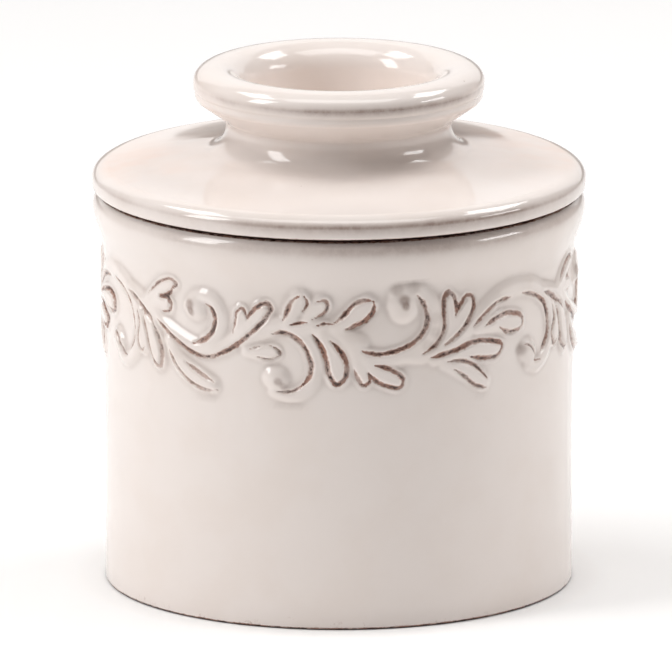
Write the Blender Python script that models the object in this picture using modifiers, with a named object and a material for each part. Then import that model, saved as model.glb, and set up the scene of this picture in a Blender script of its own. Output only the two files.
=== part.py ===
"""A stoneware butter crock: a base pot, a lid with a hollow flared knob, and the butter cup
that hangs upside down under the lid.

The pot holds a little water. The cup is packed with butter, and its mouth hangs in the water,
which keeps the air out. Every piece is turned about Z. The origin is the centre of the base,
on the surface that the pot stands on, and +Z is up.
"""

import math

import bpy
from mathutils import Vector

# All sizes are in millimetres and become metres when a mesh is made.
MM = 0.001
TURN_STEPS = 64  # sides in a full turn
ARC_SAG = 0.07  # how far an arc's straight sides may cut inside it

# Base pot: its wall swells a little towards the bead that runs under the rim
POT_RADIUS = 48.35
POT_HEIGHT = 82.2
POT_WALL = 4.6
POT_FLOOR = 5.0
POT_FLOOR_ROUND = 6.0
WALL_SWELL = 0.35
SWELL_START = 32.0
BEAD_PROUD = 2.15
BEAD_SWEEP = 9.4
SWEEP_STEPS = 6
BEAD_ROUND = 3.2
BEAD_WIDTH = 3.0
RIM_ROUND = 0.8
FOOT_WIDTH = 3.5
FOOT_HEIGHT = 1.2
FOOT_ROUND = 1.0

# Gaps between pieces that touch or slide
SEAT_GAP = 0.3
SPIGOT_GAP = 0.8

# Lid: a gently sloping disc, with a ring below that finds the pot's mouth
LID_OVERHANG = 0.15
LID_EDGE_UNDER = 1.3
LID_EDGE_UNDERCUT = 0.8
LID_EDGE_BAND = 0.9
LID_EDGE_OVER = 2.7
LID_EDGE_WIDTH = 4.5
LID_SLOPE = 8.0
LID_PLATE = 5.5
SPIGOT_WIDTH = 3.0
SPIGOT_DEPTH = 3.0
SPIGOT_ROUND = 0.8

# Knob: a neck that flares out into a broad rounded lip round a hollow
NECK_RADIUS = 23.6
NECK_RISE = 6.4
NECK_FILLET = 6.3
CREASE_DEPTH = 0.4
FLARE_STEP = (1.4, 1.9)
KNOB_WALL = 5.0
KNOB_RADIUS = 30.05
KNOB_EDGE_RISE = 5.8
KNOB_EDGE_ROUND = 3.0
KNOB_EDGE_BAND = 1.8
LIP_OUTER_CROWN = 3.5
LIP_INNER_WIDTH = 3.2
LIP_INNER_CROWN = 1.2
BOWL_FLARE = 1.9
BOWL_ROUND = 5.0

# Butter cup
CUP_WATER_GAP = 9.25
CUP_FLOOR_GAP = 20.8
CUP_WALL = 4.0
CUP_CEILING = 4.0
CUP_TAPER = 3.5
CUP_CEILING_ROUND = 6.0
CUP_COLLAR = 2.4
CUP_COLLAR_ROUND = 2.2

# Places that more than one piece uses
POT_MOUTH_RADIUS = POT_RADIUS - POT_WALL
POT_FLOOR_TOP = FOOT_HEIGHT + POT_FLOOR
BEAD_RADIUS = POT_RADIUS + WALL_SWELL + BEAD_PROUD
LID_SEAT = POT_HEIGHT + SEAT_GAP


def arc(centre, width, height, start, end):
    """Points of an ellipse's arc, from one angle to another, in degrees. 0 points outwards
    and 90 points up."""
    step = 2 * math.degrees(math.acos(1 - ARC_SAG / max(width, height)))
    count = math.ceil(abs(end - start) / step) + 1
    angles = [math.radians(start + (end - start) * i / (count - 1)) for i in range(count)]
    return [(centre[0] + width * math.cos(a), centre[1] + height * math.sin(a)) for a in angles]


def rounded(corners):
    """An outline through corners of (radius, height, fillet). Each fillet is the arc that is
    tangent to both of its corner's sides."""
    outline = [corners[0][:2]]
    for before, corner, after in zip(corners, corners[1:], corners[2:]):
        here, fillet = Vector(corner[:2]), corner[2]
        if fillet == 0:
            outline.append(tuple(here))
            continue
        back = (Vector(before[:2]) - here).normalized()
        ahead = (Vector(after[:2]) - here).normalized()
        half = back.angle(ahead) / 2
        centre = here + (back + ahead).normalized() * fillet / math.sin(half)
        reach = fillet / math.tan(half)
        arm_in = here + back * reach - centre
        arm_out = here + ahead * reach - centre
        start = math.degrees(math.atan2(arm_in.y, arm_in.x))
        end = math.degrees(math.atan2(arm_out.y, arm_out.x))
        turn = (end - start + 180) % 360 - 180
        outline += arc(centre, fillet, fillet, start, start + turn)
    outline.append(corners[-1][:2])
    return outline


def pot_outline():
    """From the middle of the floor, up the inside, over the rim, down the bead and the wall,
    and under the foot to the axis."""
    wall_radius = POT_RADIUS + WALL_SWELL
    ledge_radius = BEAD_RADIUS - BEAD_WIDTH
    bead_middle = POT_HEIGHT - BEAD_ROUND
    wall_top = bead_middle - BEAD_SWEEP
    foot_inside = POT_RADIUS - FOOT_ROUND - FOOT_WIDTH

    inside = rounded([
        (0, POT_FLOOR_TOP, 0),
        (POT_MOUTH_RADIUS, POT_FLOOR_TOP, POT_FLOOR_ROUND),
        (POT_MOUTH_RADIUS, POT_HEIGHT, RIM_ROUND),
        (ledge_radius, POT_HEIGHT, 0),
    ])
    bead = arc((ledge_radius, bead_middle), BEAD_WIDTH, BEAD_ROUND, 90, 0)
    # the bead runs out into the wall along half a cosine wave
    sweep = []
    for i in range(1, SWEEP_STEPS):
        way = i / SWEEP_STEPS
        proud = BEAD_PROUD * (1 + math.cos(math.pi * way)) / 2
        sweep.append((wall_radius + proud, bead_middle - BEAD_SWEEP * way))
    outside = rounded([
        (wall_radius, wall_top, 0),
        (POT_RADIUS, SWELL_START, 0),
        (POT_RADIUS, 0, FOOT_ROUND),
        (foot_inside, 0, 0),
        (foot_inside - FOOT_HEIGHT, FOOT_HEIGHT, 0),
        (0, FOOT_HEIGHT, 0),
    ])
    return inside + bead[1:] + sweep + outside


def lid_outline():
    """From the middle of the knob's hollow, up over the lip, down the flare and the neck, out
    along the sloping disc, round its edge and under it to the axis. Heights are from the
    disc's underside."""
    slope = math.tan(math.radians(LID_SLOPE))
    edge_height = LID_EDGE_UNDER + LID_EDGE_BAND
    lid_radius = BEAD_RADIUS + LID_OVERHANG
    edge_centre = lid_radius - LID_EDGE_WIDTH
    # the slope runs on from where the edge's ellipse has the same steepness
    blend = math.atan(slope * LID_EDGE_WIDTH / LID_EDGE_OVER)
    shoulder_radius = edge_centre + LID_EDGE_WIDTH * math.sin(blend)
    shoulder = edge_height + LID_EDGE_OVER * math.cos(blend)
    neck_foot = shoulder + slope * (shoulder_radius - NECK_RADIUS)

    crease = neck_foot + NECK_RISE
    crease_radius = NECK_RADIUS - CREASE_DEPTH
    knob_edge = crease + KNOB_EDGE_RISE
    knob_widest = knob_edge + KNOB_EDGE_BAND
    crest = knob_widest + LIP_OUTER_CROWN

    bowl_radius = NECK_RADIUS - KNOB_WALL
    lip_inside = bowl_radius + BOWL_FLARE
    crest_radius = lip_inside + LIP_INNER_WIDTH

    bowl = rounded([
        (0, LID_PLATE, 0),
        (bowl_radius, LID_PLATE, BOWL_ROUND),
        (lip_inside, crest - LIP_INNER_CROWN, 0),
    ])
    lip_in = arc((crest_radius, crest - LIP_INNER_CROWN), LIP_INNER_WIDTH, LIP_INNER_CROWN, 180, 90)
    lip_out = arc((crest_radius, knob_widest), KNOB_RADIUS - crest_radius, LIP_OUTER_CROWN, 90, 0)
    flare = rounded([
        (KNOB_RADIUS, knob_widest, 0),
        (KNOB_RADIUS, knob_edge, KNOB_EDGE_ROUND),
        (crease_radius + FLARE_STEP[0], crease + FLARE_STEP[1], 0),
        (crease_radius, crease, 0),
        (NECK_RADIUS, neck_foot, NECK_FILLET),
        (shoulder_radius, shoulder, 0),
    ])
    over = arc((edge_centre, edge_height), LID_EDGE_WIDTH, LID_EDGE_OVER,
               90 - math.degrees(blend), 0)
    under = arc((lid_radius - LID_EDGE_UNDERCUT, LID_EDGE_UNDER), LID_EDGE_UNDERCUT,
                LID_EDGE_UNDER, 0, -90)
    spigot_radius = POT_MOUTH_RADIUS - SPIGOT_GAP
    underside = rounded([
        (lid_radius - LID_EDGE_UNDERCUT, 0, 0),
        (spigot_radius, 0, 0),
        (spigot_radius, -SPIGOT_DEPTH, SPIGOT_ROUND),
        (spigot_radius - SPIGOT_WIDTH, -SPIGOT_DEPTH, SPIGOT_ROUND),
        (spigot_radius - SPIGOT_WIDTH, 0, 0),
        (0, 0, 0),
    ])
    return bowl + lip_in[1:] + lip_out[1:] + flare[1:] + over[1:] + under + underside[1:]


def cup_outline():
    """From the axis along the luted top, down the outside, round the mouth and up the inside
    to the axis. Heights are from the lid's underside."""
    mouth_radius = POT_MOUTH_RADIUS - CUP_WATER_GAP
    top_radius = mouth_radius - CUP_TAPER
    mouth = POT_FLOOR_TOP + CUP_FLOOR_GAP - LID_SEAT
    ceiling = -SEAT_GAP - CUP_CEILING
    lip = CUP_WALL / 2 - SEAT_GAP / 2
    return rounded([
        (0, -SEAT_GAP, 0),
        (top_radius + CUP_COLLAR, -SEAT_GAP, 0),
        (top_radius, -SEAT_GAP - CUP_COLLAR, CUP_COLLAR_ROUND),
        (mouth_radius, mouth, lip),
        (mouth_radius - CUP_WALL, mouth, lip),
        (top_radius - CUP_WALL, ceiling, CUP_CEILING_ROUND),
        (0, ceiling, 0),
    ])


def glaze(name, colour, roughness):
    """A fired glaze: no metal, and gloss from a low roughness."""
    material = bpy.data.materials.new(name)
    material.use_nodes = True
    shader = material.node_tree.nodes["Principled BSDF"]
    shader.inputs["Base Color"].default_value = (*colour, 1.0)
    shader.inputs["Roughness"].default_value = roughness
    shader.inputs["Metallic"].default_value = 0.0
    return material


def turned(name, outline, material, collection, parent=None):
    """An outline of (radius, height) swept once round Z."""
    mesh = bpy.data.meshes.new(name)
    points = [(radius * MM, 0.0, height * MM) for radius, height in outline]
    edges = [(i, i + 1) for i in range(len(points) - 1)]
    mesh.from_pydata(points, edges, [])
    mesh.materials.append(material)
    piece = bpy.data.objects.new(name, mesh)
    piece.parent = parent
    collection.objects.link(piece)
    screw = piece.modifiers.new("Turn", "SCREW")
    screw.axis = "Z"
    screw.steps = TURN_STEPS
    screw.render_steps = TURN_STEPS
    screw.use_merge_vertices = True
    screw.merge_threshold = 0.00001
    screw.use_smooth_shade = True
    return piece


def clear_scene():
    for item in list(bpy.data.objects):
        bpy.data.objects.remove(item, do_unlink=True)


def main():
    clear_scene()
    crock = bpy.data.collections.new("butter_crock")
    bpy.context.scene.collection.children.link(crock)

    # the lid and its cup lift off together, straight up along Z
    lid_frame = bpy.data.objects.new("lid_frame", None)
    lid_frame.location = (0, 0, LID_SEAT * MM)
    crock.objects.link(lid_frame)

    turned("crock", pot_outline(), glaze("pot_glaze", (0.80, 0.74, 0.69), 0.16), crock)
    turned("lid", lid_outline(), glaze("lid_glaze", (0.83, 0.77, 0.71), 0.15), crock, lid_frame)
    turned("butter_cup", cup_outline(), glaze("cup_glaze", (0.82, 0.77, 0.72), 0.18), crock,
           lid_frame)


main()
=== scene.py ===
# %% [markdown]
# # A glazed stoneware butter crock
# The real object is two loose pieces of cream-glazed stoneware: a pot with a band of raised
# leaves, and a lid that carries a hollow knob above and a hanging butter cup below. Every
# piece was turned or cast round one axis, so each one here is a profile carried round Z, worked
# out as whole numpy arrays. The leaves are a height field that pushes the pot's wall outwards.
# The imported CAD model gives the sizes, and it is loaded first.

# %% Load the frame
import math

import bpy
import numpy as np
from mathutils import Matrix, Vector


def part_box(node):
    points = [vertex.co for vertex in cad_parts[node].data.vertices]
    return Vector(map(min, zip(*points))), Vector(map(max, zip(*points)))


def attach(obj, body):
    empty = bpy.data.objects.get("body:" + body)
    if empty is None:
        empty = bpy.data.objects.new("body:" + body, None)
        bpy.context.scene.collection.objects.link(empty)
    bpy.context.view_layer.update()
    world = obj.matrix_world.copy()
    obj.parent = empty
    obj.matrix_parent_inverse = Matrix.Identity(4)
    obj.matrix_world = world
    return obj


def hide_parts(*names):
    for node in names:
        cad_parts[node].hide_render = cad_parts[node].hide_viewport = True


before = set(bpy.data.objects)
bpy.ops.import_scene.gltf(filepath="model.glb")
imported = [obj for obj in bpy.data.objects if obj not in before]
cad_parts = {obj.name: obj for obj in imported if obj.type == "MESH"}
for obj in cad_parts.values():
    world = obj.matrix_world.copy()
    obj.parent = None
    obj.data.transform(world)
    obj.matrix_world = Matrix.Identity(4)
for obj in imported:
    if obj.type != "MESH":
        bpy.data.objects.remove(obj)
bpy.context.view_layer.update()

MM = 0.001  # formulas below are in millimetres, and meshes are in metres

# %% [markdown]
# ## Sizes
# The pot's height, the radii of its bead and of the lid, and the heights of the lid and the cup
# are read from the CAD's nodes. The other sizes are written with each profile.

# %% Read the sizes that the CAD fixes
_, pot_high = (np.array(corner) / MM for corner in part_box("crock"))
lid_low, lid_high = (np.array(corner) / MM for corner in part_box("lid"))
cup_low, cup_high = (np.array(corner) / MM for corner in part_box("butter_cup"))
POT_HEIGHT, BEAD_RADIUS = pot_high[2], pot_high[0]
LID_RADIUS, KNOB_TOP = lid_high[0], lid_high[2]
SEAT_GAP = 0.3  # between the pot's rim and the lid
LID_SEAT = POT_HEIGHT + SEAT_GAP
print(f"pot {POT_HEIGHT:.1f} high, bead {BEAD_RADIUS:.2f} mm")
print(f"lid {LID_RADIUS:.2f}, top {KNOB_TOP:.1f} mm")

# %% [markdown]
# ## Outlines
# A potter's profile is straight runs joined by arcs. Two helpers draw both: one gives an
# ellipse's arc, which can be made fuller than an ellipse, and the other rounds the corners of a
# chain of straight runs. Typing many points by hand would be harder to read and to change.

# %% Arcs and rounded corners
def arc(centre, width, height, start, end, fullness=2.0, spacing=0.35):
    """A superellipse's arc: centre + (width * c, height * s), where c and s are the cosine and
    sine of the angle raised to 2 / fullness. 0 degrees points outwards, 90 degrees up."""
    long_side = max(width, height) * abs(math.radians(end - start))
    angles = np.radians(np.linspace(start, end, max(3, math.ceil(long_side / spacing) + 1)))
    power = 2 / fullness
    c, s = np.cos(angles), np.sin(angles)
    c, s = np.sign(c) * np.abs(c) ** power, np.sign(s) * np.abs(s) ** power
    return np.column_stack([centre[0] + width * c, centre[1] + height * s])


def rounded(corners, spacing=0.35):
    """A chain of straight runs through (radius, height, fillet) corners. Each fillet is the
    arc tangent to both of its runs, centred on the line that halves their angle."""
    parts = [np.array([corners[0][:2]], float)]
    for before, corner, after in zip(corners, corners[1:], corners[2:]):
        here, fillet = np.array(corner[:2], float), corner[2]
        if fillet == 0:
            parts.append(here[None])
            continue
        back = np.array(before[:2]) - here
        ahead = np.array(after[:2]) - here
        back, ahead = back / np.linalg.norm(back), ahead / np.linalg.norm(ahead)
        half = math.acos(np.clip(back @ ahead, -1, 1)) / 2
        middle = (back + ahead) / np.linalg.norm(back + ahead)
        centre = here + middle * fillet / math.sin(half)
        reach = fillet / math.tan(half)
        arm, last = here + back * reach - centre, here + ahead * reach - centre
        start, end = (math.degrees(math.atan2(v[1], v[0])) for v in (arm, last))
        turn = (end - start + 180) % 360 - 180
        parts.append(arc(centre, fillet, fillet, start, start + turn, spacing=spacing))
    parts.append(np.array([corners[-1][:2]], float))
    return np.vstack(parts)


def joined(*parts):
    """One outline from several, without the points that repeat where they meet."""
    outline = np.vstack(parts)
    step = np.linalg.norm(np.diff(outline, axis=0), axis=1)
    return outline[np.concatenate([[True], step > 0.02])]


# %% [markdown]
# ## The pot's profile
# It runs from the middle of the floor up the inside, over the rim, down the bead and the wall,
# and under the foot back to the axis. Turning it in that order makes every face point out of
# the clay. The rim is a round bead, as a potter's rib leaves it, and it flows into the wall
# along half a cosine wave.

# %% Profile of the pot
POT_RADIUS, POT_WALL, POT_FLOOR, FOOT_HEIGHT = 48.35, 4.6, 5.0, 1.2
WALL_RADIUS = 48.70  # just under the bead
TAPER_END = 32.0  # the height where the wall reaches the pot's radius
FOOT_INNER_LOW, FOOT_INNER_HIGH = 43.85, 42.65  # the foot ring's inner side, below and above
BEAD_WIDTH, BEAD_ROUND, BEAD_SWEEP = 2.4, 3.2, 9.4
MOUTH_RADIUS = POT_RADIUS - POT_WALL
BEAD_MIDDLE = POT_HEIGHT - BEAD_ROUND

inside = rounded([
    (0, FOOT_HEIGHT + POT_FLOOR, 0),
    (MOUTH_RADIUS * 0.5, FOOT_HEIGHT + POT_FLOOR, 0),
    (MOUTH_RADIUS, FOOT_HEIGHT + POT_FLOOR, 6.0),
    (MOUTH_RADIUS, POT_HEIGHT / 2, 0),
    (MOUTH_RADIUS, POT_HEIGHT, 0.8),
    (BEAD_RADIUS - BEAD_WIDTH, POT_HEIGHT, 0),
], spacing=0.9)
bead = arc((BEAD_RADIUS - BEAD_WIDTH, BEAD_MIDDLE), BEAD_WIDTH, BEAD_ROUND, 90, 0)
way = np.linspace(0, 1, 26)[:, None]
sweep_radius = WALL_RADIUS + (BEAD_RADIUS - WALL_RADIUS) * (1 + np.cos(np.pi * way)) / 2
sweep = np.hstack([sweep_radius, BEAD_MIDDLE - BEAD_SWEEP * way])
wall_and_foot = rounded([
    (WALL_RADIUS, BEAD_MIDDLE - BEAD_SWEEP, 0),
    (POT_RADIUS, TAPER_END, 0),
    (POT_RADIUS, 18.0, 0),
    (POT_RADIUS, 5.0, 0),
    (POT_RADIUS, 0, 0.6),
    (FOOT_INNER_LOW, 0, 0.4),
    (FOOT_INNER_HIGH, FOOT_HEIGHT, 0.6),
    (30.0, FOOT_HEIGHT, 0),
    (0, FOOT_HEIGHT, 0),
], spacing=0.25)
pot_outline = joined(inside, bead, sweep, wall_and_foot)
print("pot outline:", len(pot_outline), "points")

# %% [markdown]
# ## The lid's profile
# Above, the knob is a neck that flares into a broad lip round a hollow; below the neck a hollow
# curve runs out into the disc, which slopes a few degrees and ends in a rolled edge. Glaze
# pulls thin on a sharp turn, so the lip and the edge are fuller than an ellipse, with a tighter
# corner where the brown shows. Below, a ring finds the pot's mouth.

# %% Profile of the lid
KNOB_RADIUS, NECK_RADIUS, CREASE_RADIUS = 30.05, 23.0, 23.4
LID_EDGE = 4.5  # width of the rolled edge
LID_EDGE_CENTRE = LID_RADIUS - LID_EDGE
SLOPE = math.tan(math.radians(8.0))
EDGE_MIDDLE, EDGE_CROWN = LID_SEAT + 2.2, 2.7
CREST_RADIUS, BOWL_RADIUS, LIP_DEPTH = 25.2, 18.6, 5.5
KNOB_WIDEST = KNOB_TOP - 3.5
BOWL_FLOOR = LID_SEAT + 5.5  # the floor of the knob's hollow

blend = math.atan(SLOPE * LID_EDGE / EDGE_CROWN)  # where the edge is as steep as the slope
shoulder = (LID_EDGE_CENTRE + LID_EDGE * math.sin(blend),
            EDGE_MIDDLE + EDGE_CROWN * math.cos(blend))
neck_foot = shoulder[1] + SLOPE * (shoulder[0] - NECK_RADIUS)
crease = neck_foot + 5.9
lip_top = KNOB_TOP - 0.2

bowl = rounded([
    (0, BOWL_FLOOR, 0),
    (8, BOWL_FLOOR, 0),
    (BOWL_RADIUS, BOWL_FLOOR, 5.0),
    (BOWL_RADIUS + 0.8, lip_top - LIP_DEPTH, 0),
])
lip_in = arc((CREST_RADIUS, lip_top - LIP_DEPTH), CREST_RADIUS - BOWL_RADIUS - 0.8, LIP_DEPTH,
             180, 90)
lip_out = arc((CREST_RADIUS, KNOB_WIDEST), KNOB_RADIUS - CREST_RADIUS, lip_top - KNOB_WIDEST,
              90, 0, fullness=2.2)
flare = rounded([
    (KNOB_RADIUS, KNOB_WIDEST, 0),
    (KNOB_RADIUS, KNOB_WIDEST - 1.3, 0.5),
    (KNOB_RADIUS - 0.25, KNOB_WIDEST - 1.7, 0.3),
    (KNOB_RADIUS - 0.1, KNOB_WIDEST - 3.1, 1.6),
    (CREASE_RADIUS + 1.2, crease + 1.1, 1.2),
    (CREASE_RADIUS, crease, 0.12),
    (NECK_RADIUS, neck_foot + SLOPE * 0.6, 5.6),
    (38.0, neck_foot - SLOPE * (38.0 - NECK_RADIUS), 0),
    (*shoulder, 0),
])
edge = arc((LID_EDGE_CENTRE, EDGE_MIDDLE), LID_EDGE, EDGE_CROWN, 90 - math.degrees(blend), 0,
           fullness=2.15)
SPIGOT_RADIUS, SPIGOT_WALL = MOUTH_RADIUS - 0.8, 3  # the ring that finds the pot's mouth
underside = rounded([
    (LID_RADIUS, EDGE_MIDDLE, 0),
    (LID_RADIUS, LID_SEAT, 0.8),
    (SPIGOT_RADIUS, LID_SEAT, 0.5),
    (SPIGOT_RADIUS, lid_low[2], 0.8),
    (SPIGOT_RADIUS - SPIGOT_WALL, lid_low[2], 0.8),
    (SPIGOT_RADIUS - SPIGOT_WALL, LID_SEAT, 0.6),
    (20, LID_SEAT, 0),
    (0, LID_SEAT, 0),
])
lid_outline = joined(bowl, lip_in, lip_out, flare, edge, underside)
print("lid outline:", len(lid_outline), "points")

# %% [markdown]
# ## The butter cup's profile
# The cup is stuck under the lid with slip before the firing, which leaves a small sloping
# collar. It widens a little towards its mouth, so that the butter keeps its hold and the cup
# leaves its mould, and its mouth is a plain round lip.

# %% Profile of the butter cup
CUP_WALL, CUP_TOP, CUP_MOUTH = 4.0, cup_high[2], cup_low[2]
CUP_MOUTH_RADIUS = MOUTH_RADIUS - 9.25
CUP_TOP_RADIUS = CUP_MOUTH_RADIUS - 3.5
CEILING = CUP_TOP - 4.0
CUP_LIP = CUP_WALL / 2 - 0.15  # fillet on each side of the mouth
cup_outline = rounded([
    (0, CUP_TOP, 0),
    (CUP_TOP_RADIUS + 2.4, CUP_TOP, 0),
    (CUP_TOP_RADIUS, CUP_TOP - 2.4, 2.2),
    ((CUP_TOP_RADIUS + CUP_MOUTH_RADIUS) / 2, (CUP_TOP + CUP_MOUTH) / 2, 0),
    (CUP_MOUTH_RADIUS, CUP_MOUTH, CUP_LIP),
    (CUP_MOUTH_RADIUS - CUP_WALL, CUP_MOUTH, CUP_LIP),
    ((CUP_TOP_RADIUS + CUP_MOUTH_RADIUS) / 2 - CUP_WALL, (CEILING + CUP_MOUTH) / 2, 0),
    (CUP_TOP_RADIUS - CUP_WALL, CEILING, 6.0),
    (12, CEILING, 0),
    (0, CEILING, 0),
], spacing=0.5)
print("cup outline:", len(cup_outline), "points")

# %% [markdown]
# ## The ornament, as strokes
# The band is a running scroll of leaves that a modeller built up in soft clay and then drew
# into with a pointed tool. It repeats three times round the pot. Each leaf, stem and curl here
# has a *body*, a stroke of (along, up, half width) that raises the clay, and *cuts*, strokes of
# (along, up) that are incised into it. Along is measured round the wall from the middle of the
# front, to the right, and up is the height above the table, both in millimetres. Smooth curves
# are drawn through the few points of each stroke, so a list of vertices isn't needed.

# %% The repeat, and a smooth curve through a few points
REPEATS = 3
RELIEF_RADIUS = 49.5
PERIOD = 2 * math.pi * RELIEF_RADIUS / REPEATS


def smooth(points, spacing=0.45):
    """A cubic Hermite curve through the points, over the length of their chords. The slope at
    a point is the mean of its two chords' slopes, each weighted by the other chord's length."""
    points = np.array(points, float)
    chord = np.linalg.norm(np.diff(points[:, :2], axis=0), axis=1)
    place = np.concatenate([[0], np.cumsum(chord)])
    rate = np.diff(points, axis=0) / chord[:, None]
    inner = (chord[:-1, None] * rate[1:] + chord[1:, None] * rate[:-1])
    inner = inner / (chord[:-1] + chord[1:])[:, None]
    if len(points) > 2:
        ends = (1.5 * rate[0] - 0.5 * inner[0], 1.5 * rate[-1] - 0.5 * inner[-1])
        slope = np.vstack([ends[0], inner, ends[1]])
    else:
        slope = np.vstack([rate[0], rate[0]])
    at = np.linspace(0, place[-1], max(4, round(place[-1] / spacing) + 1))
    k = np.clip(np.searchsorted(place, at, side="right") - 1, 0, len(chord) - 1)
    t, h = ((at - place[k]) / chord[k])[:, None], chord[k][:, None]
    return ((1 + 2 * t) * (1 - t) ** 2 * points[k] + t * (1 - t) ** 2 * h * slope[k]
            + t * t * (3 - 2 * t) * points[k + 1] + t * t * (t - 1) * h * slope[k + 1])


print(f"one repeat is {PERIOD:.1f} mm round the wall")

# %% [markdown]
# ## The bodies
# The main stem waves along the band and throws off curls that end in a small ball, and fans of
# leaves. Widths are half widths, and the last number is how far the body stands proud.

# %% Raised bodies
STEMS = [
    ([(-53, 67.0, 0.8), (-48, 65.2, 1.3), (-43, 62.7, 1.4), (-38, 59.8, 1.4), (-33, 57.9, 1.4),
      (-29, 57.2, 1.4), (-25, 58.5, 1.4), (-21.5, 61.1, 1.5), (-18.5, 63.7, 1.5)], 0.8),
    ([(-21, 60.0, 0.8), (-17, 62.0, 1.3), (-13, 63.9, 1.6), (-8.5, 64.0, 1.7), (-4, 63.6, 1.8),
      (0, 62.3, 1.9), (4, 60.2, 1.9)], 0.8),
    ([(14, 57.2, 1.0), (18, 57.4, 1.5), (22, 58.4, 1.7), (26, 60.3, 1.8), (29.5, 62.6, 1.9),
      (33, 65.6, 1.7), (37, 68.0, 1.7), (41.5, 68.8, 1.8), (46, 68.2, 1.8)], 0.6),
]
CURLS = [
    # from the ball, round the outside, and back into the stem
    ([(-32.5, 67.6, 1.2), (-30.3, 68.4, 1.3), (-28.0, 67.9, 1.5), (-26.3, 65.9, 1.6),
      (-25.8, 63.2, 1.6), (-26.8, 60.8, 1.6), (-29.2, 59.0, 1.5)], 0.7),
    ([(-9.5, 63.2, 1.6), (-6.8, 61.3, 1.7), (-5.2, 58.4, 1.6), (-4.7, 55.4, 1.5),
      (-5.6, 52.3, 1.4), (-7.6, 50.2, 1.3), (-10.4, 49.3, 1.2), (-13.4, 50.4, 1.3)], 0.65),
    ([(12.0, 70.3, 1.3), (14.5, 71.0, 1.3), (17.3, 70.6, 1.5), (19.4, 68.3, 1.6),
      (20.0, 65.3, 1.6), (19.3, 62.0, 1.6), (17.0, 59.4, 1.6), (13.0, 57.6, 1.6),
      (8.6, 57.1, 1.6), (4.8, 58.0, 1.7), (1.5, 60.6, 1.7)], 0.75),
    ([(46, 68.2, 1.9), (50, 66.3, 1.9), (53, 62.8, 1.8), (54.1, 58.8, 1.7), (53.6, 55.0, 1.5),
      (51.4, 52.2, 1.3), (48.6, 51.0, 1.2), (46.0, 51.8, 1.3)], 0.65),
]
BALLS = [
    ([(-32.3, 66.0, 2.2), (-31.6, 65.7, 2.2)], 1.15),
    ([(-13.7, 52.8, 2.1), (-12.9, 52.7, 2.2)], 1.15),
    ([(13.3, 68.4, 3.0), (13.5, 67.4, 2.8)], 1.25),
    ([(45.2, 54.6, 2.3), (45.8, 54.0, 2.1)], 1.25),
]
LEAVES = [
    # fan at the left end of the repeat
    ([(-46.2, 62.2, 1.4), (-44.6, 59.5, 2.1), (-43.3, 56.0, 2.4), (-42.4, 53.0, 1.8)], 1.0),
    ([(-49.2, 62.6, 1.0), (-48.2, 59.8, 1.7), (-47.6, 56.6, 2.0), (-47.4, 55.2, 1.7)], 0.85),
    # leaf that points right, over the stem
    ([(-46.2, 65.6, 1.0), (-43.0, 67.6, 1.8), (-40.3, 69.2, 1.9), (-38.0, 70.0, 1.2)], 0.75),
    ([(-44.2, 64.9, 1.2), (-41.5, 65.3, 1.7), (-39.8, 65.2, 1.8)], 0.75),
    # leaf under the stem
    ([(-39.2, 58.0, 1.2), (-36.7, 54.3, 1.9), (-33.0, 51.7, 2.1), (-29.8, 50.6, 2.0),
      (-27.6, 50.0, 1.4)], 0.85),
    # pair of lobes at the stem's tip
    ([(-20.0, 61.3, 1.6), (-17.6, 64.3, 2.2), (-16.2, 66.6, 2.2)], 0.9),
    ([(-21.6, 61.8, 1.2), (-20.9, 64.3, 1.7), (-20.8, 65.9, 1.6)], 0.8),
    # small leaf inside the second curl
    ([(-19.6, 58.2, 0.9), (-16.5, 58.2, 1.5), (-13.8, 58.3, 1.5)], 0.6),
    # pair of lobes over the second curl
    ([(-10.6, 64.8, 1.4), (-9.3, 67.6, 2.0), (-8.0, 69.7, 2.0)], 0.95),
    ([(-6.6, 65.6, 1.2), (-4.8, 67.6, 1.8), (-3.6, 68.7, 1.9)], 0.85),
    # leaf over the stem, at the front
    ([(-0.6, 63.8, 1.2), (2.2, 65.6, 2.0), (4.4, 67.2, 2.3), (6.0, 68.6, 1.9)], 0.95),
    # long hanging leaf at the front, and the two right of it
    ([(-3.4, 62.2, 1.4), (-1.6, 59.4, 2.2), (-0.7, 56.6, 2.6), (-0.3, 54.0, 2.5)], 1.0),
    ([(3.2, 58.4, 1.2), (4.4, 55.2, 1.5), (5.4, 53.0, 1.6)], 0.75),
    ([(5.6, 57.0, 1.2), (8.4, 54.2, 2.2), (11.8, 52.4, 2.2)], 0.9),
    # pair of lobes right of the third curl
    ([(20.4, 58.4, 1.2), (23.2, 61.4, 2.0), (24.0, 65.2, 2.1), (24.0, 68.2, 1.9)], 0.55),
    ([(23.6, 60.2, 1.4), (26.2, 63.0, 2.2), (28.0, 66.6, 2.2)], 0.55),
    # the three leaves that point right, one over the other
    ([(30.6, 61.6, 1.1), (35.4, 62.1, 1.9), (39.6, 61.7, 2.2), (42.0, 61.3, 2.0)], 0.85),
    ([(20.5, 56.4, 1.2), (26.5, 57.2, 2.1), (32.0, 57.1, 2.6), (35.6, 56.8, 2.1)], 0.65),
    ([(22.8, 55.2, 1.1), (26.6, 53.8, 1.9), (29.8, 52.0, 2.1), (32.2, 50.2, 1.7)], 0.6),
]
BODIES = STEMS + CURLS + BALLS + LEAVES
print(len(BODIES), "raised bodies in one repeat")

# %% [markdown]
# ## The cuts
# Each cut follows the inside of a body's edge. The stain was rubbed over the whole band and
# wiped off again, so it stays in the cuts, thick in the deep ones and thin in the shallow
# ones: the first number of a cut is its half width, and the second is how dark it is.

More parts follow.
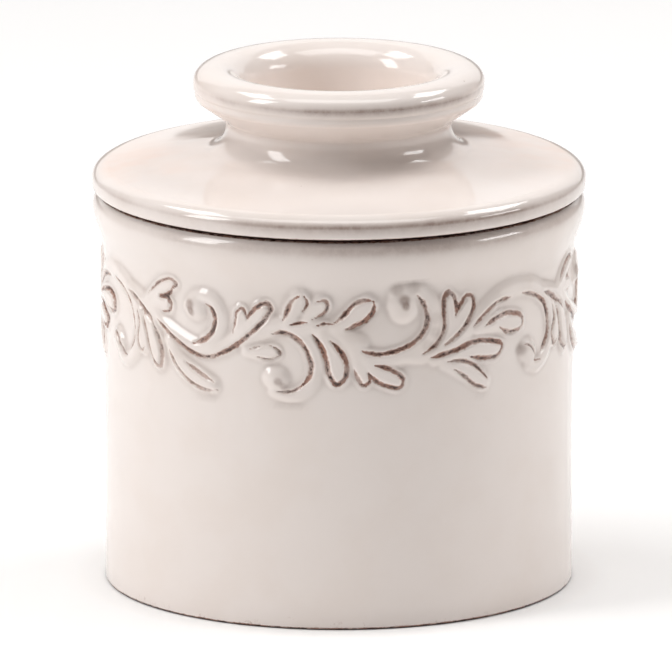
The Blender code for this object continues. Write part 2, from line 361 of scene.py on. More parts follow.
# %% Incised cuts
CUTS = [
    # the main stem's underside, up round the lobes at its tip
    (0.42, 0.88, [(-42.4, 61.8), (-39, 59.5), (-36, 57.9), (-33, 56.5), (-29.5, 55.8), (-25, 57.3),
                  (-20, 60.7), (-17, 63.5), (-15, 65.8), (-14.3, 67.6), (-15.0, 68.4),
                  (-16.9, 67.8), (-18.6, 66.1), (-19.3, 64.9)]),
    (0.30, 0.85, [(-19.4, 65.2), (-20.7, 67.0), (-21.7, 66.4), (-22.2, 64.0), (-22.8, 61.6)]),
    # first curl, and the leaf left of it
    (0.46, 0.85, [(-29.2, 67.0), (-27.6, 66.0), (-26.9, 63.5), (-27.5, 61.5), (-29, 59.9),
                 (-32.2, 58.3)]),
    (0.28, 0.7, [(-45.5, 66.7), (-43, 69), (-41.3, 70.1), (-37.8, 70.7), (-36.9, 70.0),
                 (-37.9, 68.9)]),
    (0.30, 0.9, [(-37.6, 69.6), (-39.5, 67.5), (-41.6, 66.8), (-39.7, 66.8), (-38.5, 65.5),
                 (-38.9, 64.3), (-41, 63.8)]),
    # fan of leaves at the left end; its cuts are paler, as painted light for the glare at the left
    # of the view
    (0.42, 0.6, [(-53, 66.1), (-50, 65), (-47.5, 63.5), (-45, 62), (-43.7, 60.6)]),
    (0.34, 0.52, [(-43.7, 60.5), (-42, 57.5), (-41.2, 54.6), (-41.8, 51.9), (-43.8, 53.0),
                  (-45.5, 56.5), (-46.4, 59.6), (-47.5, 62.2)]),
    (0.28, 0.55, [(-49.5, 62.8), (-48.7, 60.4), (-49.3, 55.9), (-48.1, 54.2), (-46.7, 55.3)]),
    # leaf under the stem
    (0.34, 0.6, [(-39, 56.2), (-36.3, 52.3), (-33, 50.0), (-29, 48.9), (-26.4, 49.2)]),
    (0.34, 0.65, [(-34.4, 54.1), (-31, 52.4), (-27.3, 50.8)]),
    # second curl, its ball, and the small leaf inside
    (0.42, 0.95, [(-14, 62.1), (-11.5, 62.6), (-8.3, 61.0), (-6.3, 57.9), (-5.8, 55.2),
                  (-6.3, 53.2), (-7.6, 51.6)]),
    (0.26, 0.6, [(-7.2, 52.0), (-9.4, 50.4), (-13, 50.2)]),
    (0.22, 0.5, [(-19.2, 58.5), (-16.2, 59.5)]),
    (0.20, 0.7, [(-14.5, 59.6), (-12.8, 58.9), (-12.3, 58.0), (-13.2, 57.2), (-17.6, 57.2)]),
    # lobes and dashes over the second curl
    (0.40, 1.0, [(-11.6, 65.2), (-10.5, 67.5), (-9.6, 69.4), (-8.2, 70.5)]),
    (0.36, 1.0, [(-7.2, 70.5), (-6.6, 69.2), (-7.4, 67.3)]),
    (0.32, 0.8, [(-4.8, 69.2), (-2.6, 69.4), (-2.4, 68.2), (-5.5, 65.6)]),
    (0.34, 0.95, [(-10.2, 64.2), (-8.2, 64.8), (-6.5, 64.9)]),
    (0.30, 0.95, [(-4.8, 64.2), (-3.2, 64.7), (-1.6, 64.7)]),
    # leaf over the stem, at the front
    (0.38, 0.9, [(-1.2, 64.7), (0.8, 66.2), (3.2, 68.8), (5.2, 69.6), (7.2, 69.4)]),
    (0.50, 1.0, [(7.2, 69.3), (7.2, 67.6), (4.8, 64.9), (1.3, 63.6)]),
    # long hanging leaf at the front
    (0.42, 1.0, [(-5.4, 62.4), (-3.9, 60.4), (-2.7, 57.3), (-2.1, 54.4), (-0.4, 51.9),
                 (1.4, 53.6), (1.5, 56.4), (0.3, 59), (-1.9, 61.3)]),
    (0.38, 0.95, [(3.1, 55.2), (4.0, 53), (5.2, 51.7), (6.2, 52.2), (6.0, 54.3)]),
    (0.40, 0.95, [(6.0, 54.6), (7.2, 53.0), (10, 51.5), (13.0, 51.1), (13.5, 52.4), (11.4, 54.5),
                  (7.5, 55.9)]),
    # third curl
    (0.38, 0.9, [(16.3, 70.2), (18, 68), (18.7, 65.5), (18.2, 62.8), (16, 60.4), (12, 58.7),
                 (8.6, 58.1), (4.8, 58.9)]),
    # pair of lobes right of the third curl
    (0.38, 0.9, [(17.6, 57.7), (20.6, 59.4), (22.5, 62.4), (22.5, 66.5), (22.7, 69.3), (23.5, 70.2),
                 (24.7, 69.2), (25.3, 67.2), (25.1, 64.9)]),
    (0.40, 0.9, [(25.2, 65.0), (26.6, 67.5), (28.2, 68.9), (29.4, 68.6), (29.6, 66.6), (28.4, 63.9),
                 (26, 61.3), (22.5, 59.1)]),
    # the three leaves that point right, and the stem over them
    (0.38, 0.8, [(29.4, 62.2), (32.5, 64.5), (35.4, 66.2), (39.9, 66.8)]),
    (0.40, 0.9, [(32.2, 61.9), (36, 63.3), (39.8, 63.6), (43.2, 61.9), (43.0, 60.2), (40.6, 59.5),
                 (36.3, 61.1)]),
    (0.42, 0.95, [(19.5, 56.7), (25, 57.7), (30, 59.0), (34.4, 58.5), (37.5, 57.0), (36.2, 55.3),
                  (33.2, 55.1), (28.6, 56.0)]),
    (0.34, 0.75, [(23.3, 55.5), (27, 55.3), (30.2, 53.8), (33.2, 50.8)]),
    (0.32, 0.7, [(24.8, 53.8), (27.5, 52), (30, 49.9), (33.3, 48.8)]),
    # fourth curl and its ball
    (0.36, 0.85, [(43.4, 67.1), (47.5, 66.1), (51.2, 63.5), (52.7, 60.0), (52.6, 56.4),
                  (50.3, 53.4)]),
    (0.26, 0.6, [(43.6, 56.3), (45.6, 55.6), (47.1, 53.6), (47.8, 52.2), (49.6, 52.1)]),
]
DARK_PATCHES = [
    # (along, up, size, strength): soft dark patches on the balls and the curls' outer sides
    (-33.0, 66.4, 1.2, 0.9), (-32.6, 65.0, 0.9, 1.0),
    (-12.6, 52.3, 0.9, 0.8), (-11.6, 51.3, 0.8, 0.5),
    (13.5, 69.3, 1.2, 0.9), (13.8, 68.0, 0.8, 1.0),
    (12.0, 71.7, 1.4, 0.35), (15.5, 71.7, 1.4, 0.35),
    (20.6, 65.0, 1.3, 0.25), (20.4, 62.0, 1.3, 0.3), (18.6, 59.4, 1.3, 0.25),
    (42.8, 55.2, 1.3, 0.5),
    (-12.3, 58.2, 0.6, 1.0),
]
print(len(CUTS), "cuts in one repeat")

# %% [markdown]
# ## From strokes to a height field
# One repeat is laid out flat as a grid. For each stroke, the distance from every grid point to
# its nearest place on the curve says how much that stroke raises or cuts there. The grid wraps
# round, so the last repeat meets the first with no seam.

# %% Distance from the grid to a stroke
FINE_TURN, COARSE_TURN = 960, 240
BAND_TOP, BAND_BOTTOM, BAND_ROWS = 73.2, 47.6, 82
band_z = np.linspace(BAND_TOP, BAND_BOTTOM, BAND_ROWS)
band_u = np.arange(FINE_TURN // REPEATS) * PERIOD * REPEATS / FINE_TURN
grid_u, grid_z = np.meshgrid(band_u, band_z)


def near(curve):
    """For every grid point: distance to the curve, and the segment and share of it that are
    nearest. A segment's nearest place is the point's projection on it, kept between its ends."""
    start, run = curve[:-1], np.diff(curve, axis=0)
    across = grid_u.reshape(-1, 1) - start[:, 0]
    across = (across + PERIOD / 2) % PERIOD - PERIOD / 2
    up = grid_z.reshape(-1, 1) - start[:, 1]
    length = run[:, 0] ** 2 + run[:, 1] ** 2
    share = np.clip((across * run[:, 0] + up * run[:, 1]) / length, 0, 1)
    away = np.hypot(across - share * run[:, 0], up - share * run[:, 1])
    best = away.argmin(axis=1)
    rows = np.arange(len(best))
    return away[rows, best], best, share[rows, best]


def ease(x):
    """0 below 0, 1 above 1, and 3 x^2 - 2 x^3 between them."""
    x = np.clip(x, 0, 1)
    return x * x * (3 - 2 * x)


def soft(distance, width):
    """A soft line: e to the power of -(distance / width)^2, which is 1 at distance 0."""
    return np.exp(-(distance / width) ** 2)


print(f"the grid has {grid_u.size} points, {band_u[1]:.2f} mm apart along")

# %% [markdown]
# A body's section is a dome, full over the curve and steep at its foot. Where bodies cross,
# adding them would pile them up, and taking the highest would leave a crease. So each height is
# raised to a power, the powers are added, and the root is taken.

# %% Raise the bodies
RELIEF = 1.0  # how much prouder than written every body stands
BLEND = 5.0  # a high power keeps the valley between two bodies, a low one melts them together
SHOULDER = 0.55  # how far a body's foot spreads beyond its half width
STEEPNESS = 2.2  # of a body's foot
raised = np.zeros(grid_u.size)
for points, proud in BODIES:
    curve = smooth(points)
    away, segment, share = near(curve[:, :2])
    half_width = curve[segment, 2] * (1 - share) + curve[segment + 1, 2] * share
    dome = np.clip(1 - away / (half_width + SHOULDER), 0, 1)
    raised += (proud * (1 - (1 - dome) ** STEEPNESS)) ** BLEND
raised = raised ** (1 / BLEND)
print(f"bodies stand up to {raised.max():.2f} mm proud")

# %% [markdown]
# A cut narrows and shallows towards its ends, where the tool goes in and comes out, and a low
# burr of clay runs along both its sides. Two more fields carry the stain: *line* is 2 in the
# middle of a cut, 1 at its edge and 0 a half width outside it, and *rub_and_shade* is how dark
# it is. Further on, the same two fields also carry painted shade in the gaps under the lid and
# round the foot.

# %% Incise the cuts
CUT_DEPTH = 0.42
CUT_SPREAD = 1.05  # how much wider than written every cut is
BURR, BURR_AWAY, BURR_WIDTH = 0.14, 0.4, 0.3  # clay that the tool pushes up beside a cut
CUT_STEP = 0.35  # between the points of a cut's curve
RUN_OUT = 2.2  # length over which a cut reaches its full width
cut_depth, burr, line, rub_and_shade = (np.zeros(grid_u.size) for _ in range(4))
for half_width, darkness, points in CUTS:
    curve = smooth(points, spacing=CUT_STEP)
    away, segment, share = near(curve)
    from_end = np.minimum(segment + share, len(curve) - 1 - segment - share) * CUT_STEP
    taper = 0.35 + 0.65 * ease(from_end / RUN_OUT)
    width = CUT_SPREAD * half_width * taper
    cut_depth = np.maximum(cut_depth, CUT_DEPTH * taper * soft(away, width + 0.12))
    burr = np.maximum(burr, BURR * taper * soft(away - width - BURR_AWAY, BURR_WIDTH))
    line = np.maximum(line, np.clip(2 - away / width, 0, 2))
    rub_and_shade = np.maximum(rub_and_shade, darkness * ease(1.6 - away / (width + 0.5)))
print(f"{(line > 1).mean():.1%} of the band is stained line")

# %% [markdown]
# The fired glaze rounds off every corner, so the field is softened a little before the cuts go
# in, by a few passes of a 1-2-1 average along and up. The ground's hollows get painted shade,
# kept as a soft darkening of their own.

# %% Soften, and find the hollows
def softened(field, passes):
    """A 1-2-1 average in both directions, repeated. It wraps along, and stops at the edges up."""
    for _ in range(passes):
        field = (np.roll(field, 1, axis=1) + 2 * field + np.roll(field, -1, axis=1)) / 4
        padded = np.pad(field, ((1, 1), (0, 0)), mode="edge")
        field = (padded[:-2] + 2 * padded[1:-1] + padded[2:]) / 4
    return field


# strength of the painted shade in the hollows
HOLLOW_SHADE = 0.36
FADE = 1.0  # mm over which the relief dies out at the band's edges
raised = RELIEF * softened(raised.reshape(grid_u.shape), 2)
hollow_shade = ease((softened(raised, 16) - raised) / 0.22) * ease((raised.max(axis=0) - 0.1) / 0.3)
relief = raised + (burr - cut_depth).reshape(grid_u.shape)
dark_patches = np.zeros(grid_u.shape)
for middle_u, middle_z, spread, strength in DARK_PATCHES:
    offset = (grid_u - middle_u + PERIOD / 2) % PERIOD - PERIOD / 2
    dark_patches += strength * soft(offset ** 2 + (grid_z - middle_z) ** 2, spread ** 2)
# the dark patches, and the painted shade in the hollows
wipe_and_shade = np.clip(dark_patches + HOLLOW_SHADE * hollow_shade, 0, 1)
fade = ease((grid_z - BAND_BOTTOM) / FADE) * ease((BAND_TOP - grid_z) / FADE)
print(f"relief runs from {relief.min():.2f} to {relief.max():.2f} mm")

# %% [markdown]
# ## Surfaces turned round the axis
# A turned surface is a grid of points: one row for each outline point, one column for each
# step of the turn. Rows of the ornament need fine columns and plain rows don't, so a piece can
# be stacked from blocks of rows with different numbers of columns. Between two blocks, each
# wide step of one is joined to four narrow steps of the other by one face with seven sides. The
# two ends of the outline lie on the axis and close with fans round a single point.

# %% Points of a block, and the mesh that joins blocks
OUT_OF_ROUND = 0.05  # mm, at most


def block(outline, columns, out=None):
    """Points (r sin a, -r cos a, z) for each outline point (r, z) and each angle a, with a from 0
    at the front towards +X. Out is added to r, and the turn is a hair off round, as thrown
    clay is: r is less by up to OUT_OF_ROUND, as a slow wave of the angle and the height."""
    angle = np.arange(columns) * 2 * math.pi / columns
    radius = np.repeat(outline[:, :1], columns, axis=1)
    height = np.repeat(outline[:, 1:], columns, axis=1)
    wave = np.sin(2 * angle + height / 17) + 0.5 * np.sin(5 * angle + height / 5)
    radius = radius - OUT_OF_ROUND * (wave / 3 + 0.5) * np.clip(radius / 10, 0, 1)
    if out is not None:
        radius = radius + out
    return np.stack([radius * np.sin(angle), -radius * np.cos(angle), height], axis=2)


def turned(name, blocks, fields):
    """A closed mesh from blocks of rows, with a point on the axis before the first row and
    after the last. Fields are (name, one value for each point) pairs, stored as attributes."""
    first = [0, 0, blocks[0][0, 0, 2]]
    last = [0, 0, blocks[-1][-1, 0, 2]]
    points = np.vstack([[first]] + [b.reshape(-1, 3) for b in blocks] + [[last]])
    faces, rows, start = [], [], 1
    for b in blocks:
        rows.append(start + np.arange(b.shape[0] * b.shape[1]).reshape(b.shape[:2]))
        start += b.shape[0] * b.shape[1]
    for row in rows:
        after = np.roll(row, -1, axis=1)
        quads = np.stack([row[:-1], row[1:], after[1:], after[:-1]], axis=2)
        faces += quads.reshape(-1, 4).tolist()
    for upper, lower in zip(rows, rows[1:]):
        top, bottom = upper[-1], lower[0]
        if len(top) < len(bottom):
            narrow = bottom.reshape(len(top), -1)
            ahead = np.roll(narrow[:, :1], -1, axis=0)
            wide = np.column_stack([top, narrow, ahead, np.roll(top, -1)])
        else:
            narrow = top.reshape(len(bottom), -1)
            ahead = np.roll(narrow[:, :1], -1, axis=0)
            back = np.column_stack([ahead, narrow[:, :0:-1]])
            wide = np.column_stack([narrow[:, :1], bottom, np.roll(bottom, -1), back])
        faces += wide.tolist()
    opening, closing = rows[0][0], rows[-1][-1]
    pole = np.zeros_like(opening)
    faces += np.column_stack([pole, opening, np.roll(opening, -1)]).tolist()
    pole = np.full_like(closing, len(points) - 1)
    faces += np.column_stack([closing, pole, np.roll(closing, -1)]).tolist()

    mesh = bpy.data.meshes.new(name)
    mesh.from_pydata((points * MM).tolist(), [], faces)
    mesh.shade_smooth()
    for field, values in fields:
        padded = np.concatenate([[0], np.concatenate([v.ravel() for v in values]), [0]])
        mesh.attributes.new(field, "FLOAT", "POINT").data.foreach_set("value", padded)
    piece = bpy.data.objects.new(name, mesh)
    bpy.context.scene.collection.objects.link(piece)
    return piece


def along(outline):
    """Distance along the outline to each of its points."""
    return np.concatenate([[0], np.cumsum(np.linalg.norm(np.diff(outline, axis=0), axis=1))])


def angles(columns):
    """The turn's angles from -180 to 180 degrees, 0 at the front."""
    return (np.arange(columns) * 360 / columns + 180) % 360 - 180


# %% [markdown]
# ## Stain on the rims
# The same brown was wiped over the rims. It stays as a thin line on each one's turn, darkest at
# the front and to the right, and paler to the left. A stain on a rim is a distance along the
# outline from the rim's line, times a slow wave of the angle.

# %% How much stain a rim keeps at each angle
def rim_stain(columns, phase):
    """From 0.06 to 1: a broad bump at the front right and a low one behind, with slow waves of
    unequal length on top. The phase shifts the waves, so that the rims differ."""
    degrees = angles(columns)
    a = np.radians(degrees)
    front = soft(degrees - 18, 52)
    behind = 0.3 * soft(np.abs(degrees) - 150, 50)
    waves = 0.10 * np.sin(7 * a + phase) + 0.07 * np.sin(17 * a + 2.3 * phase)
    return np.clip(0.14 + 0.86 * (front + behind) + waves, 0.06, 1)


def rim_distance(outline, height, beyond):
    """Distance along the outline from its point at this height, past the radius beyond."""
    place = along(outline)
    nearest = np.where(outline[:, 0] > beyond, np.abs(outline[:, 1] - height), np.inf).argmin()
    return np.abs(place - place[nearest])[:, None]


print(f"straight at the front a rim keeps {rim_stain(COARSE_TURN, 0)[0]:.2f} of its stain")

# %% [markdown]
# ## The pot
# The blocks are the inside, rim and bead, then the fine band of ornament, then the wall and
# foot. The foot's ring stands on the kiln's shelf, so it is wiped clean of glaze.

# %% Split the pot's outline into blocks
rim_end = len(inside) + len(bead) - 2
outer = pot_outline[rim_end:]
upper = np.vstack([pot_outline[1:rim_end], outer[outer[:, 1] > BAND_TOP + 0.3]])
band_r = np.interp(band_z[::-1], outer[::-1, 1], outer[::-1, 0])[::-1]
band = np.column_stack([band_r, band_z])
# a few rows for the tall stretch of wall under the band, and then the rest of the outline
tall_z = np.linspace(46, 33, 9)
tall_r = np.interp(tall_z, [TAPER_END, BAND_BOTTOM], [POT_RADIUS, band_r[-1]])
below_band = (outer[:, 1] < BAND_BOTTOM - 0.3) | (outer[:, 0] < 48)
lower = np.vstack([np.column_stack([tall_r, tall_z]), outer[below_band][:-1]])
print("rows above the band", len(upper), "in it", len(band), "below it", len(lower))


# %% Build the pot
def repeated(field):
    """A field of one repeat, carried all the way round."""
    return np.tile(field.reshape(grid_u.shape), (1, REPEATS))


BEAD_LINE = 80.3  # height of the stain on the bead
GAP_SHADE_RADIUS = 49.1  # radius of the thin ring of painted shade on the rim, in the gap under the lid's edge
no_top = np.zeros((len(upper), COARSE_TURN))
no_band = np.zeros((BAND_ROWS, FINE_TURN))
no_low = np.zeros((len(lower), COARSE_TURN))
bead_away = rim_distance(upper, BEAD_LINE, BEAD_RADIUS - 1.5)
top_wipe = 0.62 * soft(bead_away, 1.6) * rim_stain(COARSE_TURN, 0.4)
# painted shade: a thin dark ring on the rim's crown, where the gap under the lid's edge lies in
# shadow
gap_shade_ring = np.clip(4 - np.abs(upper[:, :1] - GAP_SHADE_RADIUS) / 0.2, 0, 3) * (upper[:, 1:] > 81) + no_top
# painted contact shadow: a thin dark ring round the foot's bottom edge
foot_shadow_ring = np.clip(4 - lower[:, 1:] / 0.17, 0, 3) * (lower[:, :1] > 46) + no_low
# bare clay on the foot ring, where it touches the table
bare = ((lower[:, 1:] < 0.25) & (lower[:, :1] > 43.5) & (lower[:, :1] < 47.5)) + no_low
blocks = [block(upper, COARSE_TURN), block(band, FINE_TURN, repeated(relief * fade)),
          block(lower, COARSE_TURN)]
pot = turned("glazed_pot", blocks, [
    ("line", [gap_shade_ring, repeated(line), foot_shadow_ring]),
    ("rub_and_shade", [np.clip(gap_shade_ring, 0, 1), repeated(rub_and_shade), np.clip(foot_shadow_ring, 0, 1)]),
    ("wipe_and_shade", [top_wipe, repeated(wipe_and_shade), no_low]),
    ("bare", [no_top, no_band, bare]),
])
print("pot:", len(pot.data.polygons), "faces")

# %% [markdown]
# ## The lid and its butter cup
# The lid's stain sits on the lip of the knob and on the rolled edge. Where the glaze ran down
# the back slopes it broke a little pink, which is common when a cream glaze is thick.

# %% Build the lid
LID_TURN = 360
lid_rows = lid_outline[1:-1]
lip_away = rim_distance(lid_rows, KNOB_WIDEST - 0.1, 29)
edge_away = rim_distance(lid_rows, EDGE_MIDDLE + 0.45, 49.5)
# a faint wide stain and a dark narrow one on each rim
edge_wipe = (0.50 * soft(edge_away, 1.5) + 0.55 * soft(edge_away, 0.5)) * rim_stain(LID_TURN, 3.1)
lip_wipe = (0.35 * soft(lip_away, 1.1) + 0.90 * soft(lip_away, 0.4)) * rim_stain(LID_TURN, 1.7)
turn_angle = angles(LID_TURN)[None]
on_slope = (ease((lid_rows[:, :1] - 26) / 8) * ease((50.5 - lid_rows[:, :1]) / 3)
            * (lid_rows[:, 1:] > LID_SEAT + 3))
sides = soft(turn_angle + 88, 30) + soft(turn_angle - 102, 30) + 0.4 * soft(turn_angle - 175, 30)
# a thin ring of painted shade under the lid's edge, where the gap to the pot lies in shadow
no_lid = np.zeros((len(lid_rows), LID_TURN))
under_edge_shade = np.clip(4 - np.abs(lid_rows[:, 1:] - LID_SEAT) / 0.07, 0, 3)
under_edge_shade = under_edge_shade * (lid_rows[:, :1] > 49.4) + no_lid
lid = turned("glazed_lid", [block(lid_rows, LID_TURN)], [
    ("line", [under_edge_shade]),
    ("rub_and_shade", [np.clip(under_edge_shade, 0, 1)]),
    ("wipe_and_shade", [np.clip(edge_wipe + lip_wipe, 0, 1)]),
    ("blush", [on_slope * sides]),
])
print("lid:", len(lid.data.polygons), "faces")

# %% [markdown]
# The cup hangs out of sight under the lid, so it has no stain. Its mouth is left bare.

# %% Build the butter cup
CUP_TURN = 240
cup_rows = cup_outline[1:-1]
no_stain = np.zeros((len(cup_rows), CUP_TURN))
cup = turned("glazed_cup", [block(cup_rows, CUP_TURN)], [
    ("bare", [(cup_rows[:, 1:] < CUP_MOUTH + 0.15) + no_stain]),
])
print("cup:", len(cup.data.polygons), "faces")

# %% [markdown]
# ## Glazed stoneware
# The body is stoneware, fired under an opaque cream glaze. Opaque white glaze is a smooth glass
# over clay: an index of refraction near 1.5 and a low roughness. What keeps it from looking
# like plastic is in the detail: a faint mottle where the glaze is thicker, a few pinholes
# where gas escaped in the kiln, a slight ripple, and the iron stain in the lines.

# %% Colours and a helper that adds a node
def linear(hex_colour):
    """An sRGB hex colour as linear light, with alpha 1."""
    parts = [int(hex_colour[i:i + 2], 16) / 255 for i in (1, 3, 5)]
    light = [c / 12.92 if c <= 0.04045 else ((c + 0.055) / 1.055) ** 2.4 for c in parts]
    return (*light, 1)


def add(tree, kind, inputs=(), **settings):
    """A new node with these settings, and its inputs as (name or number, value or output)."""
    made = tree.nodes.new(kind)
    for key, value in settings.items():
        setattr(made, key, value)
    for key, value in inputs:
        if isinstance(value, bpy.types.NodeSocket):
            tree.links.new(value, made.inputs[key])
        else:
            made.inputs[key].default_value = value
    return made


def size(millimetres):
    """The scale that gives a pattern with features of this size, in object coordinates."""
    return 1 / (millimetres * MM)


CREAM = linear("#F2E8E2")
CREAM_THICK = linear("#F0E5DE")
DARK_STAIN_AND_SHADE = linear("#3C2219")  # the core of a cut, and of the painted shade rings under the lid and round the foot
STAIN_AND_SHADE = linear("#A67A68")  # the rest of a cut, and the soft edge of those painted shade rings
THIN_STAIN_AND_SHADE = linear("#8A7064")  # wiped over the rims, and painted shade in the band's hollows
BISQUE = linear("#CDB9A0")  # bare clay
BLUSH = linear("#F3CFBB")  # the glaze where it broke pink
print("cream, as linear light:", [round(part, 3) for part in CREAM[:3]])


# %% The glaze
def glaze(name, seed):
    """Cream glaze over stoneware, with mottle, pinholes, ripple and an iron stain."""
    material = bpy.data.materials.new(name)
    material.use_nodes = True
    tree = material.node_tree
    shader = tree.nodes["Principled BSDF"]
    place = add(tree, "ShaderNodeTexCoord").outputs["Object"]
    place = add(tree, "ShaderNodeVectorMath", [(0, place), (1, (seed, seed / 2, 0))],
                operation="ADD").outputs[0]

    def noise(feature, detail=2.0, rough=0.5):
        inputs = [("Vector", place), ("Scale", size(feature)), ("Detail", detail),
                  ("Roughness", rough)]
        return add(tree, "ShaderNodeTexNoise", inputs).outputs[0]

    def stretch(value, low, high, to_low=0.0, to_high=1.0, kind="SMOOTHSTEP"):
        inputs = [(0, value), (1, low), (2, high), (3, to_low), (4, to_high)]
        return add(tree, "ShaderNodeMapRange", inputs, interpolation_type=kind).outputs[0]

    def maths(operation, first, second):
        inputs = [(0, first), (1, second)]
        return add(tree, "ShaderNodeMath", inputs, operation=operation).outputs[0]

    def mixed(factor, first, second):
        made = add(tree, "ShaderNodeMix", [(0, factor), (6, first), (7, second)],
                   data_type="RGBA")
        return made.outputs[2]

    def field(attribute):
        return add(tree, "ShaderNodeAttribute", attribute_name=attribute).outputs["Fac"]

    colour = mixed(stretch(noise(14, 3), 0.4, 0.7), CREAM, CREAM_THICK)
    colour = mixed(maths("MULTIPLY", field("blush"), stretch(noise(9), 0.3, 0.7, 0.2, 0.5)),
                   colour, BLUSH)

    # thin stain that the wiping left behind, patchy as a dry cloth leaves it, and painted shade in
    # the hollows
    patches = stretch(noise(2.0, 5, 0.75), 0.30, 0.70, 0.7, 1)
    thin_stain_and_shade = maths("MULTIPLY", field("wipe_and_shade"), patches)
    colour = mixed(maths("MULTIPLY", thin_stain_and_shade, 0.85), colour, THIN_STAIN_AND_SHADE)

    # thick stain in the cuts, brown with a ragged edge and a broken dark core; the painted shade
    # rings take the same mix
    grain = stretch(noise(0.7, 3, 0.7), 0.3, 0.7, -0.4, 0.4, "LINEAR")
    grain = maths("ADD", grain, stretch(noise(2.6, 1), 0.3, 0.7, -0.3, 0.3, "LINEAR"))
    nearness = maths("ADD", field("line"), grain)
    worn = stretch(noise(4, 2), 0.35, 0.6, 0.6, 1)
    thick = maths("MULTIPLY", maths("MULTIPLY", stretch(nearness, 0.65, 1.15), field("rub_and_shade")), worn)
    colour = mixed(thick, colour, STAIN_AND_SHADE)
    broken = stretch(noise(1.6, 4, 0.7), 0.40, 0.58, 0.1, 1)
    # where line goes above 2, in the painted shade under the lid and round the foot, the core is
    # solid
    broken = maths("MAXIMUM", broken, maths("SUBTRACT", field("line"), 2.0))
    core = maths("MULTIPLY", maths("MULTIPLY", stretch(nearness, 1.25, 1.6), field("rub_and_shade")), broken)
    colour = mixed(core, colour, DARK_STAIN_AND_SHADE)

    # pinholes: a small dark spot in a few of the cells
    cells = add(tree, "ShaderNodeTexVoronoi", [("Vector", place), ("Scale", size(5.5))])
    few = stretch(add(tree, "ShaderNodeSeparateColor", [(0, cells.outputs["Color"])]).outputs[0],
                  0.84, 0.86)
    spot = stretch(cells.outputs["Distance"], 0.018, 0.042, 1, 0)
    hole = maths("MULTIPLY", spot, few)
    colour = mixed(maths("MULTIPLY", hole, 0.45), colour, STAIN_AND_SHADE)

    bare = field("bare")
    colour = mixed(bare, colour, BISQUE)
    tree.links.new(colour, shader.inputs["Base Color"])

    stain_shade_and_bare = maths("MAXIMUM", maths("MULTIPLY", thick, 0.30), maths("MULTIPLY", bare, 0.6))
    rough = maths("ADD", maths("ADD", stretch(noise(6, 3), 0.3, 0.7, 0.06, 0.11), stain_shade_and_bare),
                  maths("MULTIPLY", thin_stain_and_shade, 0.04))
    tree.links.new(rough, shader.inputs["Roughness"])
    shader.inputs["IOR"].default_value = 1.54

    # a slow ripple in the glaze, then pits at the pinholes and in the stained lines
    ripple = add(tree, "ShaderNodeBump", [("Height", noise(7, 1)), ("Distance", 0.03 * MM),
                                         ("Strength", 1.0)])
    pit = maths("MAXIMUM", hole, maths("MULTIPLY", thick, 0.8))
    pits = add(tree, "ShaderNodeBump", [("Height", pit),
                                       ("Distance", 0.08 * MM), ("Strength", 0.7),
                                       ("Normal", ripple.outputs[0])], invert=True)
    tree.links.new(pits.outputs[0], shader.inputs["Normal"])
    return material


for piece, name, seed in ((pot, "pot_glaze", 0.3), (lid, "lid_glaze", 0.7), (cup, "cup_glaze", 1.1)):
    piece.data.materials.append(glaze(f"glazed stoneware, {name.split('_')[0]}", seed))

# %% [markdown]
# ## Places in the frame
# The lid and the cup were fired as one, so they ride one body. The pot is the other.

# %% Put the pieces on their bodies, in place of the CAD's
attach(pot, "pot")
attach(lid, "lid_and_cup")
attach(cup, "lid_and_cup")
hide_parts("crock")
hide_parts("lid")
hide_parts("butter_cup")

# %% [markdown]
# ## The studio
# The floor is plain and pale, and runs on past the edge of the view. It glows a little by
# itself, except close round the foot, where it keeps the pot's shadow.

# %% Floor
FLOOR = 6.0  # metres from the middle to each side
GLOW, GLOW_START, GLOW_FULL = 0.07, 0.049, 0.058  # its strength, and where it begins and is full
floor_mesh = bpy.data.meshes.new("floor")
corners = [(-FLOOR, -FLOOR, 0), (FLOOR, -FLOOR, 0), (FLOOR, FLOOR, 0), (-FLOOR, FLOOR, 0)]
floor_mesh.from_pydata(corners, [], [(0, 1, 2, 3)])
floor = bpy.data.objects.new("floor", floor_mesh)
bpy.context.scene.collection.objects.link(floor)
paper = bpy.data.materials.new("white paper")
paper.use_nodes = True
sheet = paper.node_tree.nodes["Principled BSDF"]
sheet.inputs["Base Color"].default_value = linear("#FBFAF9")
sheet.inputs["Roughness"].default_value = 0.9
sheet.inputs["Emission Color"].default_value = (1, 1, 1, 1)
middle = add(paper.node_tree, "ShaderNodeTexCoord").outputs["Object"]
reach = add(paper.node_tree, "ShaderNodeVectorMath", [(0, middle)], operation="LENGTH")
glow = add(paper.node_tree, "ShaderNodeMapRange", [
    (0, reach.outputs["Value"]), (1, GLOW_START), (2, GLOW_FULL), (3, 0.0), (4, GLOW),
], interpolation_type="SMOOTHSTEP")
paper.node_tree.links.new(glow.outputs[0], sheet.inputs["Emission Strength"])
floor_mesh.materials.append(paper)

# %% [markdown]
# Glaze mirrors its lamps, so each one is placed for the highlight that it should give: a tall
# soft box at the left, a low wide one at the right, two overhead to the left and the right, a
# broad one on top and a backdrop behind. Their strengths were first fitted with each lamp
# rendered alone, and then adjusted. The front stays dimmer.

# %% Lamps
AIM = (0, 0, 0.055)


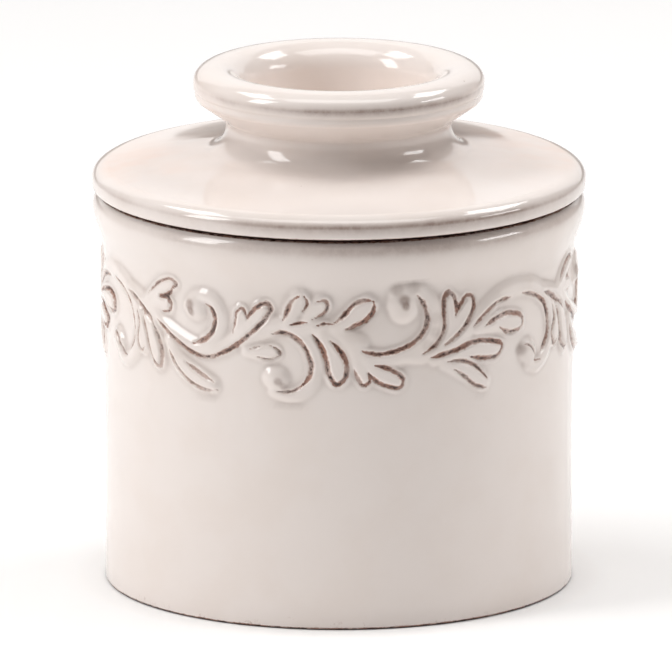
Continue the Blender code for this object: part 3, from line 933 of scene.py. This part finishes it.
def facing(away):
    """The turn that points a lamp's or a camera's -Z against this direction, +Y upwards."""
    return Vector(away).to_track_quat("Z", "Y").to_euler()


def softbox(name, direction, distance, width, height, watts):
    """A rectangular lamp along a direction from the pot, turned to face it."""
    lamp = bpy.data.lights.new(name, "AREA")
    lamp.shape = "RECTANGLE"
    lamp.size, lamp.size_y = width, height
    lamp.energy = watts
    holder = bpy.data.objects.new(name, lamp)
    away = np.array(direction) / np.linalg.norm(direction)
    holder.location = np.array(AIM) + away * distance
    holder.rotation_euler = facing(away)
    bpy.context.scene.collection.objects.link(holder)


softbox("left box", (-0.77, -0.30, 0.48), 1.2, 0.34, 0.70, 5.7)
softbox("right box", (0.93, -0.12, 0.37), 1.2, 0.48, 0.20, 2.3)
softbox("overhead left", (-0.55, 0.17, 0.81), 1.2, 0.60, 0.34, 4.0)
softbox("overhead right", (0.56, 0.28, 0.78), 1.2, 0.60, 0.34, 4.8)
softbox("top", (0, -0.16, 0.99), 1.5, 1.5, 0.7, 10.0)
softbox("backdrop", (0, 0.90, 0.42), 2.0, 2.6, 1.4, 9.5)

print(len(bpy.data.lights), "lamps")

# %% A little warm light from all round
world = bpy.data.worlds.new("studio")
bpy.context.scene.world = world
world.use_nodes = True
room = world.node_tree.nodes["Background"]
room.inputs["Color"].default_value = (1.0, 0.55, 0.38, 1)
room.inputs["Strength"].default_value = 0.015

# %% [markdown]
# ## The camera
# A long lens from 4 m keeps the rims nearly parallel, as in a product picture, and looks down
# on the lid by about 13 degrees.

# %% Camera
PITCH, DISTANCE, WIDTH_SEEN = 13.3, 4.0, 0.1390  # degrees, and metres for the other two
eye = bpy.data.cameras.new("camera")
eye.sensor_width = 36
eye.lens = eye.sensor_width * DISTANCE / WIDTH_SEEN
camera = bpy.data.objects.new("camera", eye)
target = np.array((-0.0006, 0, 0.0506))
toward = np.array((0, -math.cos(math.radians(PITCH)), math.sin(math.radians(PITCH))))
camera.location = target + toward * DISTANCE
camera.rotation_euler = facing(toward)
bpy.context.scene.collection.objects.link(camera)
bpy.context.scene.camera = camera
bpy.context.scene.view_settings.view_transform = "Standard"
